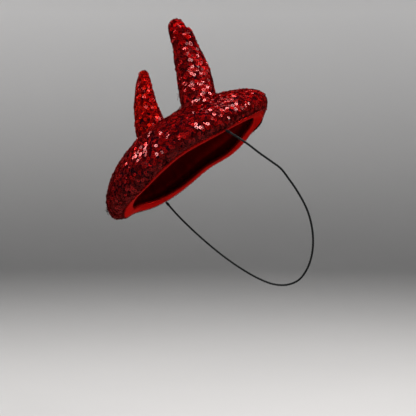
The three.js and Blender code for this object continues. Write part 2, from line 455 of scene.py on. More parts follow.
def sequinFinish(name):
    # thin dyed foil: each sequin has its own tone, and a clear coat that gives the pale glints
    f, look = Finish(name), sequinLook
    dark, middle, bright, coat = look["dyes"][name]
    tone, gloss, shine = (
        f.add("ShaderNodeAttribute", {"attribute_name": each}, output=2) for each in look["attributes"]
    )
    tones = (dark, tuple(look["dull"] * m for m in middle), middle, bright)
    tint = f.add("ShaderNodeValToRGB", {"stops": list(zip(look["places"], tones))}, {0: tone})
    return f.surface(
        Base_Color=tint, Roughness=look["rough"] + gloss * look["roughSpread"], Metallic=0.4,
        Specular_IOR_Level=0.0, Specular_Tint=(1.0, 0.03, 0.03, 1), Coat_Roughness=0.12, Coat_IOR=3.0,
        Coat_Weight=(tone * look["coatRise"] + look["coat"]) * shine * coat,
    )


def satinFinish(name):
    # fine satin: long floats across the cloth and a cloudy depth of colour, whose pale end on the facing is a
    # painted highlight
    f, look = Finish(name), satinLook
    threads = clothTint(f, look["scale"])
    floats = noiseTint(f, threads, 1.0, 2.0)
    twill = bandsTint(f, threads, "DIAGONAL", look["twill"], look["waviness"])
    clouds = noiseTint(f, placeTint(f), look["clouds"])
    depth = clouds * look["cloudy"] + floats * look["streaky"] - look["darker"]
    tint = mixTint(f, depth, *look["dyes"][name])
    bump = bumpTint(f, twill * 0.5 + floats * 0.5, 0.22, look["relief"])
    return f.surface(
        Base_Color=tint, Roughness=look["rough"] + clouds * look["roughSpread"], Normal=bump,
        Anisotropic=0.4, Metallic=0.5, Specular_IOR_Level=0.0, Specular_Tint=(1.0, 0.06, 0.05, 1),
    )


def elasticFinish():
    # braided black cover: tiny crossed threads, paler where they stand out
    f, look = Finish("elasticBraid"), elasticLook
    yarn = bandsTint(f, clothTint(f, look["scale"]), "DIAGONAL")
    fuzz = noiseTint(f, placeTint(f), look["fuzz"])
    tint = mixTint(f, yarn * fuzz, look["deep"], look["pale"])
    bump = bumpTint(f, yarn, 0.5, look["relief"])
    return f.surface(Base_Color=tint, Roughness=0.6, Normal=bump, Specular_IOR_Level=0.07)


def threadFinish(name):
    # plain sewing thread, a little uneven in its dye
    f, look = Finish(name), threadLook
    dye = look["dyes"][name]
    shade = mixTint(f, noiseTint(f, placeTint(f), look["fuzz"]), tuple(look["deep"] * c for c in dye), dye)
    return f.surface(Base_Color=shade, Roughness=0.6, Specular_IOR_Level=0.03)


groundNet = netFinish()
sequinRed, sequinRedLitCopy = (sequinFinish(name) for name in sequinLook["dyes"])
facingSatin, liningSatin = (satinFinish(name) for name in satinLook["dyes"])
elasticBraid = elasticFinish()
blackThread, redThread = (threadFinish(name) for name in threadLook["dyes"])
print("finishes made")


# Elastic
elasticForm = {
    "diameter": 2.0,  # millimetres
    "around": 20,
    "step": 0.45,
    "perSpan": 40,
    "fixedAxis": (0.35, -0.8, 0.49),  # no part of the route runs along it
    "strands": 3,
    "pitch": 9.6,
    "relief": 0.085,
    # the points that its middle passes, from the left of the edge round the back to the right
    "route": [
        (72.7, -6.9, 23.4), (74.6, -0.5, 19.6), (76.6, 11.7, 12.3), (78.3, 23.5, 4.1),
        (79.8, 33.7, -2.5), (81.7, 43.5, -9.5), (82.2, 52.2, -19.3), (82.4, 58.7, -27.2),
        (80.4, 71.2, -44), (72.2, 83, -61.9), (60.5, 92.3, -80.3), (47, 98, -96.3),
        (37.5, 99, -106.1), (28, 98.6, -113.1), (14, 96, -118), (-2, 91.5, -118.5),
        (-17, 84.5, -114), (-31, 74.5, -105.5), (-43, 62, -94), (-52, 48, -80.5),
        (-58.5, 34, -66.5), (-62.5, 21.5, -53.5), (-63.9, 11, -42.1),
    ],
}


def smoothRoute(points, perSpan):
    # a curve through the points: its knots are the roots of the chords' lengths, added up, and each
    # span blends the two points at its ends with one on either side
    p = np.asarray(points, float)
    p = np.vstack([2 * p[0] - p[1], p, 2 * p[-1] - p[-2]])
    knots = np.append(0, np.cumsum(np.sqrt(np.linalg.norm(np.diff(p, axis=0), axis=1))))
    spans = np.arange(1, len(p) - 2)
    t = np.linspace(0, 1, perSpan, endpoint=False)
    k = [knots[spans + i][:, None] for i in (-1, 0, 1, 2)]
    q = [p[spans + i][:, None, :] for i in (-1, 0, 1, 2)]
    at = (k[1] + (k[2] - k[1]) * t)[..., None]
    k = [x[..., None] for x in k]

    def blend(first, second, start, end):
        return (end - at) / (end - start) * first + (at - start) / (end - start) * second

    one, two, three = (blend(q[i], q[i + 1], k[i], k[i + 1]) for i in range(3))
    four, five = blend(one, two, k[0], k[2]), blend(two, three, k[1], k[3])
    return np.vstack([blend(four, five, k[1], k[2]).reshape(-1, 3), p[-2]])


def evenly(points, step):
    # the same line with places a step apart
    lengths = np.append(0, np.cumsum(np.linalg.norm(np.diff(points, axis=0), axis=1)))
    at = np.linspace(0, lengths[-1], int(round(lengths[-1] / step)) + 1)
    return np.stack([np.interp(at, lengths, points[:, i]) for i in range(3)], 1), at


def elasticLine():
    # the elastic's middle line, and the length up to each of its points
    return evenly(smoothRoute(elasticForm["route"], elasticForm["perSpan"]), elasticForm["step"])


def makeElastic():
    e = elasticForm
    line, at = elasticLine()
    # each point's two sideways directions are square to the line and to one fixed axis
    along = unit(np.gradient(line, axis=0))
    side = unit(np.cross(along, e["fixedAxis"]))
    over = np.cross(along, side)
    turn = np.arange(e["around"]) / e["around"] * fullTurn
    # strands twist round the middle, and the radius is half the diameter times
    # 1 - relief + relief cos(strands (turn - twist))
    twist = at[:, None] / e["pitch"] * fullTurn
    radius = e["diameter"] / 2 * (1 - e["relief"] + e["relief"] * np.cos(e["strands"] * (turn - twist)))
    rings = line[:, None] + radius[..., None] * onCircle(turn[:, None], side[:, None], over[:, None])
    line = line * millimetre
    piece = closedRings("elasticCord", rings * millimetre, line[0], line[-1], elasticBraid)
    u = np.append(np.repeat(at, e["around"]), [0, at[-1]]) * millimetre
    v = np.append(np.tile(turn, len(line)), [0, 0]) * e["diameter"] / 2 * millimetre
    layFlatMap(piece, u, v)
    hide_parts("elastic_cord")
    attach(piece, "root")
    print("elastic made,", round(float(at[-1])), "mm long")


makeElastic()


# Crown
crownCloth = {
    "around": 288,
    "overTop": 56,
    "underEdge": 20,
    "sequinRoom": 0.75,  # millimetres that the cloth lies inside the outline, under its sequins
    "lumps": 0.28,
}


def closedShell(name, outer, inner, material):
    # a wall from an outer and an inner grid of rings, both ending in a pole; the first rings are joined
    rings = np.concatenate([inner[::-1], outer])
    return closedRings(name, rings, inner[-1].mean(0), outer[-1].mean(0), material)


def shellMap(piece, rows, columns, alongOuter, reach):
    # u runs round the beret, v up its section, both in metres
    bearing = np.tile(np.arange(columns) / columns * fullTurn * reach * millimetre, 2 * rows)
    up = np.repeat(np.concatenate([alongOuter[::-1], alongOuter]), columns)
    layFlatMap(piece, np.append(bearing, [0, 0]), np.append(up, [up[0], up[-1]]))


def crownAngles(start, under, over):
    # angles of the section in radians from its start up to just short of the pole
    low = np.linspace(start, 0, under, endpoint=False)
    return np.concatenate([low, np.linspace(0, math.pi / 2, over, endpoint=False)])


def sectionGrid(angles, around):
    # every angle of the section with every bearing round the beret
    return np.meshgrid(angles, np.linspace(0, fullTurn, around, endpoint=False), indexing="ij")


def makeCrownCloth():
    # the outline less the room for the sequins, plus the padding, and the wall's inside
    c, f = crownCloth, crownForm
    angles = crownAngles(-math.radians(f["seamAngle"]), c["underEdge"], c["overTop"])
    a, b = sectionGrid(angles, c["around"])
    lumps = padding(b, a, c["lumps"])
    outer = crownPoints(b, a, c["sequinRoom"], lumps)
    inner = crownPoints(b, a, f["wall"])
    piece = closedShell("crownCloth", outer, inner, groundNet)
    along = (angles - angles[0]) * f["height"] * millimetre
    shellMap(piece, len(angles), c["around"], along, f["halfWidth"])
    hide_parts("crown_top", "crown_edge")
    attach(piece, "root")


makeCrownCloth()
print("crown cloth made")


# Sequins
sequinForm = {
    "radius": 1.58,
    "hole": 0.41,  # share of the radius
    "belly": 0.64,  # share of the radius where it is thickest
    "thickness": 0.16,
    "sides": 10,
    "size": (0.92, 1.06),  # smallest and largest
    "thread": 0.17,  # width of the stitch that holds it
    "stitchReach": (0.24, 0.66, 1.03),  # shares of the radius
    "stitchRise": (-0.12, 0.08, -0.14),
    "spacing": 2.58,
    "rowStep": 0.87,  # share of the spacing
    "scatter": 0.33,  # share of the spacing
    "tilt": 0.07,  # radians, one standard deviation each way
    "loose": 0.3,  # share of the sequins that stand up more
    "looseTilt": 0.25,
    "shingle": 0.02,  # all lean this much over the next one
    "lift": 0.42,
    "toneSpread": 1.9,
    "darkTone": 0.22,  # share of its own tone on a sequin that shows the net through
    "smallTurn": 1e-4,  # step to a neighbouring point of the surface, as a share of a turn
    "smallPlace": 0.02,  # and in millimetres
}
crownSequins = {
    "seed": 11,
    "steps": (360, 60),  # along the section, and close ones at the pole
    "poleAngles": (0.08, 0.0004),  # radians before the pole where the close steps start and end
    "ends": (0.9, 0.3),  # millimetres without a row at the seam and at the pole
    "missing": 0.035,  # share of the places that have lost their sequin
    "underHorn": 2.5,  # millimetres that the sequins run on under a horn's foot
    "darkShare": 0.15,
    "partEnds": (0.25, 0.5),  # shares of the section's length
    "parts": ("edgeSequins", "shoulderSequins", "topSequins"),
}


def ringTemplate():
    # one flat ring with a thin triangular section: outer edge, hole's edge and an edge below
    s = sequinForm
    turn = np.arange(s["sides"]) / s["sides"] * fullTurn
    circle = np.stack([np.cos(turn), np.sin(turn), np.zeros_like(turn)], 1)
    below = np.array([0, 0, -s["thickness"]])
    circle = circle * s["radius"]
    rings = [circle, circle * s["hole"], circle * s["belly"] + below]
    # its stitch is a square thread that comes up in the hole, crosses the ring and goes down beside it
    reach = np.array(s["stitchReach"]) * s["radius"]
    square = np.array([(0, 1, 1), (0, -1, 1), (0, -1, -1), (0, 1, -1)]) * s["thread"] / 2
    stations = np.stack([reach, 0 * reach, s["stitchRise"]], 1)
    stitch = (stations[:, None] + square).reshape(-1, 3)
    ringQuads = gridQuads(3, s["sides"], wrapRows=True)
    stitchQuads = np.vstack([gridQuads(3, 4), [[3, 2, 1, 0], [8, 9, 10, 11]]]) + 3 * s["sides"]
    isStitch = np.repeat([0, 1], [len(ringQuads), len(stitchQuads)])
    return np.concatenate(rings + [stitch]), np.vstack([ringQuads, stitchQuads]), isStitch


def settleSequins(name, middles, sideways, upward, outward, material, tone, shine, random):
    # turns a copy of the ring into the frame of each place, tilted a little, and joins them all:
    # a vertex is the place, plus its lift, plus the template's vertex times the frame and the size
    s = sequinForm
    count = len(middles)
    spread = np.where(random.random((count, 1)) < s["loose"], s["looseTilt"], s["tilt"])
    lean = random.normal(0, 1, (count, 2)) * spread + [0, s["shingle"]]
    normal = unit(outward + lean[:, :1] * sideways + lean[:, 1:] * upward)
    across = unit(sideways - normal * (sideways * normal).sum(1, keepdims=True))
    spin = random.uniform(0, fullTurn, (count, 1))
    along = np.cross(normal, across)
    first = onCircle(spin, across, along)
    second = np.cross(normal, first)
    template, quads, isStitch = ringTemplate()
    size = random.uniform(*s["size"], (count, 1, 1)) * millimetre
    axes = np.stack([first, second, normal], 1)
    lift = outward * (random.uniform(0, s["lift"], (count, 1)) * millimetre)
    vertices = (middles + lift)[:, None, :] + np.einsum("tk,nkj->ntj", template, axes) * size
    allQuads = manyQuads(quads, count, len(template))
    piece = makePiece(name, vertices.reshape(-1, 3), allQuads, None, material, smooth=False)
    piece.data.materials.append(redThread)
    piece.data.polygons.foreach_set("material_index", np.tile(isStitch, count).astype(np.int32))
    for attribute, values in zip(sequinLook["attributes"], (tone, random.random(count), shine)):
        layer = piece.data.attributes.new(attribute, "FLOAT", "POINT")
        layer.data.foreach_set("value", np.repeat(values, len(template)).astype(np.float32))
    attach(piece, "root")
    print(name, count, "sequins")


def rowsOfPlaces(lengths, rims, low, high, random):
    # rows rowStep spacings apart along a curve; each row holds as many places as its rim takes
    s = sequinForm
    rows = np.arange(low, high, s["spacing"] * s["rowStep"])
    counts = np.maximum(1, np.round(np.interp(rows, lengths, rims) / s["spacing"])).astype(int)
    row = np.repeat(np.arange(len(rows)), counts)
    order = np.arange(counts.sum()) - np.repeat(np.cumsum(counts) - counts, counts)
    turn = (order + 0.5 * (row % 2) + random.uniform(-1, 1, len(row)) * s["scatter"]) / counts[row]
    place = rows[row] + random.uniform(-1, 1, len(row)) * s["scatter"] * s["spacing"]
    return turn % 1.0, np.clip(place, low, high)


def surfaceFrames(surface, turn, place):
    # a surface's point, its two directions and its normal, by small steps in both parameters
    middle = surface(turn, place)
    sideways = unit(surface(turn + sequinForm["smallTurn"], place) - middle)
    upward = surface(turn, place + sequinForm["smallPlace"]) - middle
    outward = unit(np.cross(sideways, upward))
    return middle, sideways, np.cross(outward, sideways), outward


def toneOfPlaces(random, count, darkShare, paintedLightBias):
    # most tones lie in the middle, some sequins show the dark net through them; the bias lifts all tones,
    # which on the far horn is painted light
    s = sequinForm
    tone = np.clip(random.beta(s["toneSpread"], s["toneSpread"], count) + paintedLightBias, 0, 1)
    return np.where(random.random(count) < darkShare, tone * s["darkTone"], tone)


def makeCrownSequins():
    # rows along the section's length; close steps towards the pole, where the section runs nearly level
    s, c = crownSequins, crownCloth
    random = np.random.default_rng(s["seed"])
    seam, nearPole = -math.radians(crownForm["seamAngle"]), math.pi / 2 - s["poleAngles"][0]
    fine = np.linspace(seam, nearPole, s["steps"][0], endpoint=False)
    fine = np.append(fine, math.pi / 2 - np.geomspace(*s["poleAngles"], s["steps"][1]))
    radius, height = sectionAt(fine, c["sequinRoom"])
    lengths = np.append(0, np.cumsum(np.hypot(np.diff(radius), np.diff(height))))

    def surface(turn, place):
        bearing, angle = turn * fullTurn, np.interp(place, lengths, fine)
        return crownPoints(bearing, angle, c["sequinRoom"], padding(bearing, angle, c["lumps"]))

    whole, (first, last) = lengths[-1], s["ends"]
    turn, place = rowsOfPlaces(lengths, fullTurn * radius, first, whole - last, random)
    keep = random.random(len(turn)) > s["missing"]
    own = surface(turn, place) / millimetre @ worn
    for horn in horns:  # none lie under a horn's foot
        keep &= np.hypot(*(own[:, :2] - seatOf(horn)).T) > horn["baseRadius"] - s["underHorn"]
    turn, place = turn[keep], place[keep]
    middle, sideways, upward, outward = surfaceFrames(surface, turn, place)
    tone = toneOfPlaces(random, len(turn), s["darkShare"], 0.0)
    # the crown's sequins are kept in three pieces, so that none is too large
    part = np.searchsorted([whole * share for share in s["partEnds"]], place)
    for number, name in enumerate(s["parts"]):
        mine = part == number
        settleSequins(
            name, middle[mine], sideways[mine], upward[mine], outward[mine], sequinRed, tone[mine],
            np.ones(mine.sum()), random,
        )


# Horns
hornSeat = {"sideways": 46.8, "backwards": 7.2, "sunk": 5.4}
horns = [
    {
        "name": "hornLeft", "node": "horn_left", "side": 1, "length": 87.8, "baseRadius": 16.6,
        "tipRadius": 6.1, "taper": 2.1, "back": (31.8, 10.1), "out": (1.5, -0.7), "lumps": 0.45,
        "darkShare": 0.15, "paintedLightBias": 0.0, "seed": 21, "cap": (15.2, 2.5), "rubbed": 0.8, "starts": (21, 0, 2),
    },
    {
        "name": "hornRight", "node": "horn_right", "side": -1, "length": 86.2, "baseRadius": 16.3,
        "tipRadius": 4.0, "taper": 1.8, "back": (9.3, 39.3), "out": (-5.1, -2.9), "lumps": 0.4,
        # the far horn's raised tones and fewer dark sequins are painted light
        "darkShare": 0.08, "paintedLightBias": 0.06, "seed": 22, "cap": (9.0, 0.5), "rubbed": 0.0, "starts": (22, 0, 2),
    },
]
hornDetail = {
    "around": 96,
    "rings": 120,
    "steps": 40,
    "lastRing": 0.999,  # share of the way to the tip
    "waves": [(1.0, 2, 0.11), (0.8, 3, -0.23), (0.6, 5, 0.31)],  # lumps: strength, round, up in each mm
    "waveShare": 0.6,
    # the tip's folded cloth: run of its step up and down, its turn round the horn, and how narrow it is
    "capRise": 14.0,
    "capDrop": (0.3, 2.4),
    "capTurn": 1.25,
    "capNarrow": 1.6,
    # the search for the foot: lowest and highest height, places, and how far the foot is sunk
    "footHeights": (-14, 30, 221),
    "footSunk": 0.7,
    "fineSteps": (240, 60),  # along the outline up to the shoulder, and round the tip
    "tipGap": 0.02,  # radians before the tip where they stop
    "ends": (1.0, 0.4),  # millimetres without a row at the lowest height and at the tip
    "missing": 0.03,
    "footRoom": 0.6,  # millimetres over the foot's line without a sequin
    "rubbedFrom": (0.48, 0.8),  # shares of the length
}


def seatOf(horn):
    # the middle of a horn's foot on the crown
    return horn["side"] * hornSeat["sideways"], hornSeat["backwards"]


def hornHeading(horn, share):
    # the lean changes evenly from base to tip
    back = np.radians(horn["back"][0] + (horn["back"][1] - horn["back"][0]) * share)
    out = np.radians(horn["out"][0] + (horn["out"][1] - horn["out"][0]) * share)
    return np.stack(
        [horn["side"] * np.sin(out), np.sin(back) * np.cos(out), np.cos(back) * np.cos(out)], -1
    )


def hornRadius(horn, height):
    # tip + (base - tip)(1 - share^taper), times the half circle that rounds the tip; and the share of the tip
    share = np.clip(height / horn["length"], 0, 1)
    full = horn["tipRadius"] + (horn["baseRadius"] - horn["tipRadius"]) * (1 - share ** horn["taper"])
    intoTip = np.clip((height - horn["length"] + horn["tipRadius"]) / horn["tipRadius"], 0, 1)
    return full * np.sqrt(np.maximum(1 - intoTip**2, 0)), intoTip


def hornPoints(horn, turn, height, inset):
    # a round of the horn's radius about its middle line, which is the sum of its headings
    c = hornDetail
    steps = c["steps"]
    shares = (np.arange(steps) + 0.5) / steps
    upTo = np.maximum(height, 0)[..., None]
    headings = hornHeading(horn, shares * upTo / horn["length"])
    seat = np.array([*seatOf(horn), topHeight(*seatOf(horn)) - hornSeat["sunk"]])
    heading = hornHeading(horn, np.maximum(height, 0) / horn["length"])
    foot = np.minimum(height, 0)[..., None] * hornHeading(horn, np.zeros_like(height))
    middle = seat + (headings * (upTo / steps)[..., None]).sum(-2) + foot
    toBack = unit(np.cross(heading, [1.0, 0, 0]))
    toLeft = np.cross(toBack, heading)
    radius, intoTip = hornRadius(horn, height)
    # stuffed by hand: slow lumps, each strength sin(round turn + up height + start), that fade at the tip
    waves = 0.0
    for (strength, around, up), start in zip(c["waves"], horn["starts"]):
        waves = waves + strength * np.sin(turn * around + height * up + start)
    lumps = horn["lumps"] * (1 - intoTip) * waves
    # the cloth of the tip is folded over: it ends in a step on the outer back, proud of what is above it
    below, proud = horn["cap"]
    edge = horn["length"] - below
    step = smoothStep(height, edge - c["capRise"], edge)
    step = step * (1 - smoothStep(height, edge + c["capDrop"][0], edge + c["capDrop"][1]))
    towardsStep = np.exp(-((np.cos(turn - c["capTurn"]) - 1) ** 2) * c["capNarrow"])
    lumps = lumps * c["waveShare"] + proud * step * towardsStep
    # the inset shrinks towards the tip by the root of 1 - share^2 / 2
    radius = np.maximum(radius - inset * np.sqrt(1 - intoTip**2 / 2) + lumps, 0.0)
    return middle + radius[..., None] * onCircle(turn[..., None], toLeft, toBack)


def hornFoot(horn, turn):
    # the height at which the horn's outside meets the crown, for each turn round the horn
    heights = np.linspace(*hornDetail["footHeights"])
    h, t = np.meshgrid(heights, turn, indexing="ij")
    p = hornPoints(horn, t, h, 0.0)
    below = p[..., 2] < topHeight(p[..., 0], p[..., 1]) - hornDetail["footSunk"]
    last = len(heights) - 1 - np.argmax(below[::-1], axis=0)
    return heights[last]


def makeHornCloth(horn, turns, foot):
    # rings from the foot's line to the tip, closer and closer: height = foot + (top - foot) sin(quarter turn)
    c, inside = hornDetail, crownCloth["sequinRoom"]
    share = np.sin(np.linspace(0, math.pi / 2, c["rings"])) * c["lastRing"]
    heights = foot[None] + (horn["length"] - inside - foot[None]) * share[:, None]
    rings = hornPoints(horn, np.broadcast_to(turns, heights.shape), heights, inside)
    rings = toWorn(rings.reshape(-1, 3)).reshape(rings.shape)
    piece = closedRings(horn["name"] + "Cloth", rings, rings[0].mean(0), rings[-1].mean(0), groundNet)
    u = np.append(np.tile(turns * horn["baseRadius"] * millimetre, c["rings"]), [0, 0])
    v = np.append(heights.ravel() * millimetre, [0, horn["length"] * millimetre])
    layFlatMap(piece, u, v)
    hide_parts(horn["node"])
    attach(piece, "root")


def makeHornSequins(horn, turns, foot):
    # rows along the horn's outline, up the side and then round the tip
    c = hornDetail
    random = np.random.default_rng(horn["seed"])
    shoulder = horn["length"] - horn["tipRadius"]
    fine = np.append(
        np.linspace(c["footHeights"][0], shoulder, c["fineSteps"][0], endpoint=False),
        shoulder + horn["tipRadius"] * np.sin(np.linspace(0, math.pi / 2 - c["tipGap"], c["fineSteps"][1])),
    )
    rim, _ = hornRadius(horn, fine)
    lengths = np.append(0, np.cumsum(np.hypot(np.diff(rim), np.diff(fine))))

    def surface(turn, place):
        height = np.interp(place, lengths, fine)
        return toWorn(hornPoints(horn, turn * fullTurn, height, crownCloth["sequinRoom"]))

    first, last = c["ends"]
    turn, place = rowsOfPlaces(lengths, fullTurn * rim, first, lengths[-1] - last, random)
    footThere = np.interp(turn * fullTurn, turns, foot, period=fullTurn)
    keep = np.interp(place, lengths, fine) > footThere + c["footRoom"]
    keep &= random.random(len(turn)) > c["missing"]
    turn, place = turn[keep], place[keep]
    middle, sideways, upward, outward = surfaceFrames(surface, turn, place)
    tone = toneOfPlaces(random, len(turn), horn["darkShare"], horn["paintedLightBias"])
    # the far horn takes the lit copy of the red: painted light
    finish = sequinRedLitCopy if horn["side"] < 0 else sequinRed
    # the clear coat is rubbed thin towards the tip
    share = np.interp(place, lengths, fine) / horn["length"]
    shine = 1 - horn["rubbed"] * smoothStep(share, *c["rubbedFrom"])
    settleSequins(horn["name"] + "Sequins", middle, sideways, upward, outward, finish, tone, shine, random)


def makeHorn(horn):
    # its cloth and its sequins start from the same line round the foot
    turns = np.arange(hornDetail["around"]) / hornDetail["around"] * fullTurn
    foot = hornFoot(horn, turns)
    makeHornCloth(horn, turns, foot)
    makeHornSequins(horn, turns, foot)


makeCrownSequins()
for horn in horns:
    makeHorn(horn)


# Stitches and loose threads
stitchForm = {
    "sewn": 0.2,  # radius in millimetres of the threads that are sewn
    "bare": 0.085,  # radius of a bare strand
    "points": 7,  # along each thread
    "seam": {
        "seed": 41, "step": 3.1, "jitter": 0.25, "reach": 1.25, "vary": (0.8, 1.2), "lean": 0.9,
        "rise": 0.35, "fall": 0.75,
        "perRadian": 0.94,  # length of the section in a radian, as a share of the edge's width
        "aside": 0.01,  # radians to the neighbouring point that gives the sideways direction
    },
    "foot": {
        "seed": 42, "step": 3.4, "jitter": 0.2, "reach": 2.1, "slant": 1.3, "over": 0.5, "low": 0.2,
        "bendOut": 0.9, "bendUp": (0.3, 0.7), "aside": 0.05,
    },
    "tacks": {
        "wraps": 7, "step": 0.46, "start": 2, "arc": (-62, 242), "points": 13, "hug": 0.6, "flare": 0.35,
        "pitch": 0.5, "heading": 6,  # points of the line that give the direction of its end
        "search": (720, 91),  # bearings and angles among which the satin's nearest point is
    },
}
netRoll = {
    "from": 81.0, "to": 96.0, "angle": -56.0,  # degrees
    "radius": 0.85, "sunk": 0.7, "points": 60, "swell": 0.6, "sides": 8,
    "waves": [(1.6, 31), (1.1, 57)],  # degrees, and waves in radians over the whole roll
}
looseThreads = {
    "seed": 43,
    "inside": 0.6,  # millimetres under the outline where they start
    "outward": 0.8, "aside": 0.5, "sag": 0.25, "bend": (0.3, 1.0),
    # name, bearing and angle of the middle and their spread in degrees, number, lengths, colour
    "crown": [
        ("net edge at the back", 92.0, -50.0, 7.5, 5.0, 90, 0.8, 2.0, "black"),
        ("red ends at the back", 94.0, -47.0, 4.0, 3.0, 7, 2.2, 4.2, "red"),
        ("tuft on the front edge", -117.0, 8.0, 1.2, 2.5, 18, 1.6, 3.4, "black"),
        ("ends along the edge", -40.0, -20.0, 80.0, 22.0, 16, 1.0, 2.2, "red"),
        ("ends over the crown", 0.0, 25.0, 180.0, 20.0, 30, 1.0, 2.4, "black"),
    ],
    # horn, turn in degrees and height in millimetres of the middle and their spread, and the rest as above
    "horns": [
        (0, -112.0, 13.0, 22.0, 3.0, 12, 1.8, 4.2, "red"),
        (0, 78.0, 8.0, 24.0, 2.0, 12, 1.4, 3.2, "black"),
        (0, 40.0, 74.0, 60.0, 5.0, 9, 1.0, 2.2, "red"),
        (1, 20.0, 24.0, 90.0, 12.0, 8, 1.0, 2.4, "red"),
    ],
}


def threadTubes(name, lines, radius, sideways, material, sides=4):
    # many threads at once: each is a ring of points carried along its own line, with its ends closed
    count, points = lines.shape[:2]
    along = unit(np.gradient(lines, axis=1))
    side = unit(sideways[:, None] - along * (along * sideways[:, None]).sum(2, keepdims=True))
    over = np.cross(along, side)
    turn = (np.arange(sides) + 0.5) / sides * fullTurn
    circle = onCircle(turn[:, None], side[:, :, None], over[:, :, None])
    rings = lines[:, :, None] + radius * millimetre * circle
    # an end is closed by quads that fan out from its first point
    fan = np.array([[0, i, i + 1, i + 2] for i in range(1, sides - 1, 2)])
    quads = np.vstack([gridQuads(points, sides), fan[:, ::-1], fan + (points - 1) * sides])
    piece = makePiece(name, rings.reshape(-1, 3), manyQuads(quads, count, points * sides), None, material)
    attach(piece, "root")


def bridge(first, middle, last, points):
    # one curved line for each row: the parabola from first to last that heads for middle
    t = np.linspace(0, 1, points)[None, :, None]
    return (1 - t) ** 2 * first[:, None] + 2 * t * (1 - t) * middle[:, None] + t**2 * last[:, None]


def makeSeamStitches():
    # whip stitches that hold the satin to the sequinned cloth: each leans across the seam, and its
    # height over the cloth is rise - fall across^2
    s, f = stitchForm["seam"], crownForm
    random = np.random.default_rng(s["seed"])
    seam = -math.radians(f["seamAngle"])
    radius, _ = sectionAt(np.array(seam), 0.0)
    bearing = aroundCircle(radius, s["step"], s["jitter"], random)
    across = np.linspace(-1, 1, stitchForm["points"])
    perRadian = (f["halfWidth"] - f["openingRadius"]) * s["perRadian"]
    angle = seam + across * (s["reach"] * random.uniform(*s["vary"], (len(bearing), 1)) / perRadian)
    lean = bearing[:, None] + across * s["lean"] / radius
    lines = crownPoints(lean, angle, 0.0, s["rise"] - s["fall"] * across**2 + 0 * lean)
    onSeam = seam + 0 * bearing
    sideways = unit(crownPoints(bearing + s["aside"], onSeam, 0.0) - crownPoints(bearing, onSeam, 0.0))
    threadTubes("seamStitches", lines, stitchForm["sewn"], sideways, redThread)
    print("seam sewn,", len(bearing), "stitches")


def makeFootStitches():
    # slanting stitches from each horn down to the crown, all round its foot
    s = stitchForm["foot"]
    random = np.random.default_rng(s["seed"])
    for horn in horns:
        turn = aroundCircle(horn["baseRadius"], s["step"], s["jitter"], random)
        foot = hornFoot(horn, turn)
        high = hornPoints(horn, turn + s["slant"] / horn["baseRadius"], foot + s["reach"], -s["over"])
        low = hornPoints(horn, turn, foot, -s["reach"])
        low[:, 2] = topHeight(low[:, 0], low[:, 1]) + s["low"]
        middle = hornPoints(horn, turn, foot + s["bendUp"][0], -s["bendOut"]) + [0, 0, s["bendUp"][1]]
        lines = toWorn(bridge(high, middle, low, stitchForm["points"]))
        aside = hornPoints(horn, turn + s["aside"], foot, 0.0)
        sideways = unit(toWorn(aside - hornPoints(horn, turn, foot, 0.0)))
        threadTubes(horn["name"] + "Stitches", lines, stitchForm["sewn"], sideways, redThread)
    print("horns sewn on")


def makeElasticTacks():
    # black thread wound over both ends of the elastic: arcs round its middle line that widen where
    # they go down into the satin
    s, sewn, e = stitchForm["tacks"], stitchForm["sewn"], elasticForm
    line, _ = elasticLine()
    bearings, angles = s["search"]
    bearing, angle = np.meshgrid(
        np.linspace(-math.pi, math.pi, bearings), np.linspace(-math.pi / 2, 0, angles), indexing="ij"
    )
    outside = crownPoints(bearing, angle, 0.0).reshape(-1, 3) / millimetre
    turn = np.radians(np.linspace(*s["arc"], s["points"]))[None, :, None]
    radius = e["diameter"] / 2 + sewn * s["hug"] + s["flare"] * np.maximum(0, -np.sin(turn)) ** 2
    for name, end in (("elasticTacksLeft", line), ("elasticTacksRight", line[::-1])):
        places = s["start"] + np.arange(s["wraps"]) * s["step"] / e["step"]
        middle = np.stack([np.interp(places, np.arange(len(end)), end[:, i]) for i in range(3)], 1)
        along = unit(end[s["heading"]] - end[0])
        up = end[0] - outside[np.argmin(np.linalg.norm(outside - end[0], axis=1))]
        up = unit(up - along * (up @ along))
        side = np.cross(along, up)
        lines = middle[:, None] + radius * onCircle(turn, side, up)
        lines = lines + along * s["pitch"] * (turn / math.pi - 0.5)
        threadTubes(name, lines * millimetre, sewn, np.tile(along, (len(lines), 1)), blackThread)
    print("elastic tacked on")


def makeNetRoll():
    # the cut edge of the net peeps out of the seam at the back: a thin roll that dies out at both ends
    n = netRoll
    share = np.linspace(0, 1, n["points"])
    bearing = np.radians(n["from"] + (n["to"] - n["from"]) * share)
    swell = np.sin(math.pi * share) ** n["swell"]
    angle = np.radians(n["angle"] + sum(strength * np.sin(share * waves) for strength, waves in n["waves"]))
    line = crownPoints(bearing, angle, 0.0, (swell * 2 - 1) * n["radius"] * n["sunk"])
    threadTubes("netRoll", line[None], n["radius"], worn[:, :1].T, groundNet, n["sides"])


def looseLines(start, outward, shortest, longest, random):
    # each end leaves the cloth outwards, leans to a side of its own and sags a little:
    # start + length (t (outward + aside) + t^2 (bend aside + sag))
    s, count = looseThreads, len(start)
    t = np.linspace(0, 1, stitchForm["points"])[None, :, None]
    length = random.uniform(shortest, longest, (count, 1, 1)) * millimetre
    lean = random.normal(0, 1, (count, 3))
    lean = unit(lean - outward * (lean * outward).sum(1, keepdims=True))
    bend = random.uniform(*s["bend"], (count, 1, 1))
    aside = lean[:, None] * s["aside"]
    straight = outward[:, None] * s["outward"] + aside
    lines = start[:, None] + length * (t * straight + t**2 * (bend * aside - [0, 0, s["sag"]]))
    return lines, np.cross(outward, lean)


